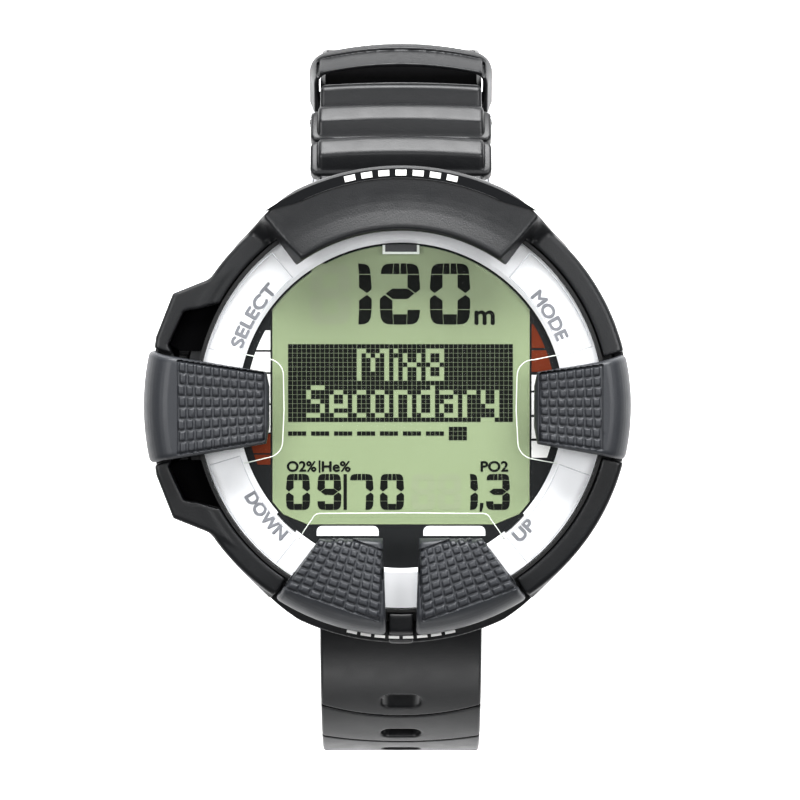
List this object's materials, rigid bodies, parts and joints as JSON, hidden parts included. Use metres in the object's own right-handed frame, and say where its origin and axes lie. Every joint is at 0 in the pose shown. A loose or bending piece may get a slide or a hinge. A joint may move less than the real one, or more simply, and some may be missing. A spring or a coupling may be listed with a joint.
{
  "type": "dive computer",
  "caption": "Round wrist dive computer with large knurled buttons, a clear window over a segment display and a rubber strap, left unbuckled.",
  "frame": {"origin": "centre of the case back's flat face, the plane that rests on the wrist", "axes": "+Z out of the display, +Y towards 12 o'clock, +X towards 3 o'clock"},
  "size_m": [0.0633, 0.0984, 0.1019],
  "materials": {
    "case_plastic": "fine grained, satin",
    "bezel_plastic": "fine grained, satin",
    "button_rubber": "knurled, matt",
    "strap_rubber": "fine grained, matt",
    "seal_rubber": "smooth",
    "window_clear": "polished",
    "ring_white": "satin silver-white",
    "dial_print": "printed",
    "lcd_glass": "grey-green reflective display",
    "guide_plastic": "frosted",
    "strip_rubber": "striped",
    "frame_plastic": "moulded white",
    "board_green": "solder mask",
    "chip_black": "moulded",
    "steel": "turned stainless steel",
    "brass": "bright",
    "ferrite": "matt",
    "copper_wire": "enamelled wire",
    "cell_can": null,
    "lock_ring_plastic": "moulded, satin",
    "buckle_steel": "bead-blasted stainless steel"
  },
  "bodies": {
    "case": {"case_tub": "case_plastic", "case_seal": "seal_rubber", "top_case": "case_plastic", "case_screws": "steel", "bezel": "bezel_plastic", "front_window": "window_clear", "window_gasket": "seal_rubber", "label_ring": "ring_white", "dial_plate": "dial_print", "lcd_panel": "lcd_glass", "light_guide": "guide_plastic", "contact_strips": "strip_rubber", "display_frame": "frame_plastic", "frame_screws": "steel", "circuit_board": "board_green", "processor_chip": "chip_black", "memory_chip": "chip_black", "crystal_can": "steel", "dome_switches": "steel", "buzzer": "brass", "pressure_sensor": "steel", "sensor_seal": "seal_rubber", "water_contacts": "steel", "receiver_core": "ferrite", "receiver_coil": "copper_wire", "battery": "cell_can", "battery_contacts": "brass", "battery_cover": "case_plastic", "cover_seal": "seal_rubber", "stem_seals": "seal_rubber", "strap_pins": "steel", "select_spring": "steel", "mode_spring": "steel", "down_spring": "steel", "up_spring": "steel"},
    "select_button": {"select_pad": "button_rubber", "select_stem": "steel", "select_clip": "steel"},
    "mode_button": {"mode_pad": "button_rubber", "mode_stem": "steel", "mode_clip": "steel"},
    "down_button": {"down_pad": "button_rubber", "down_stem": "steel", "down_clip": "steel"},
    "up_button": {"up_pad": "button_rubber", "up_stem": "steel", "up_clip": "steel"},
    "lock_ring": {"cover_lock_ring": "lock_ring_plastic"},
    "upper_strap": {"buckle_strap": "strap_rubber", "buckle_pin": "steel"},
    "keeper": {"strap_keeper": "strap_rubber"},
    "buckle": {"buckle_frame": "buckle_steel"},
    "tang": {"buckle_tang": "buckle_steel"},
    "lower_strap": {"tail_strap": "strap_rubber"}
  },
  "joints": [
    {"name": "select_press", "type": "slide", "parent": "case", "child": "select_button", "axis": [0, 0, -1], "range_m": [0, 0.0008], "stiffness_N_per_m": 1500, "springref_m": -0.0003, "deforming": ["select_spring"]},
    {"name": "mode_press", "type": "slide", "parent": "case", "child": "mode_button", "axis": [0, 0, -1], "range_m": [0, 0.0008], "stiffness_N_per_m": 1500, "springref_m": -0.0003, "deforming": ["mode_spring"]},
    {"name": "down_press", "type": "slide", "parent": "case", "child": "down_button", "axis": [0, 0, -1], "range_m": [0, 0.0008], "stiffness_N_per_m": 1500, "springref_m": -0.0003, "deforming": ["down_spring"]},
    {"name": "up_press", "type": "slide", "parent": "case", "child": "up_button", "axis": [0, 0, -1], "range_m": [0, 0.0008], "stiffness_N_per_m": 1500, "springref_m": -0.0003, "deforming": ["up_spring"]},
    {"name": "lock_ring_turn", "type": "hinge", "parent": "case", "child": "lock_ring", "pos_m": [0, 0, 0], "axis": [0, 0, 1], "range_deg": [0, 40]},
    {"name": "upper_strap_hinge", "type": "hinge", "parent": "case", "child": "upper_strap", "pos_m": [0, 0.026, 0.0065], "axis": [1, 0, 0], "range_deg": [-8, 25]},
    {"name": "lower_strap_hinge", "type": "hinge", "parent": "case", "child": "lower_strap", "pos_m": [0, -0.026, 0.0065], "axis": [-1, 0, 0], "range_deg": [-8, 25]},
    {"name": "keeper_slide", "type": "hinge", "parent": "upper_strap", "child": "keeper", "pos_m": [0, 0.021, -0.01874], "axis": [-1, 0, 0], "range_deg": [-1, 40]},
    {"name": "buckle_hinge", "type": "hinge", "parent": "upper_strap", "child": "buckle", "pos_m": [0, 0.03913, -0.03751], "axis": [1, 0, 0], "range_deg": [-30, 60]},
    {"name": "tang_hinge", "type": "hinge", "parent": "buckle", "child": "tang", "pos_m": [0, 0.03913, -0.03751], "axis": [1, 0, 0], "range_deg": [0, 95]}
  ]
}
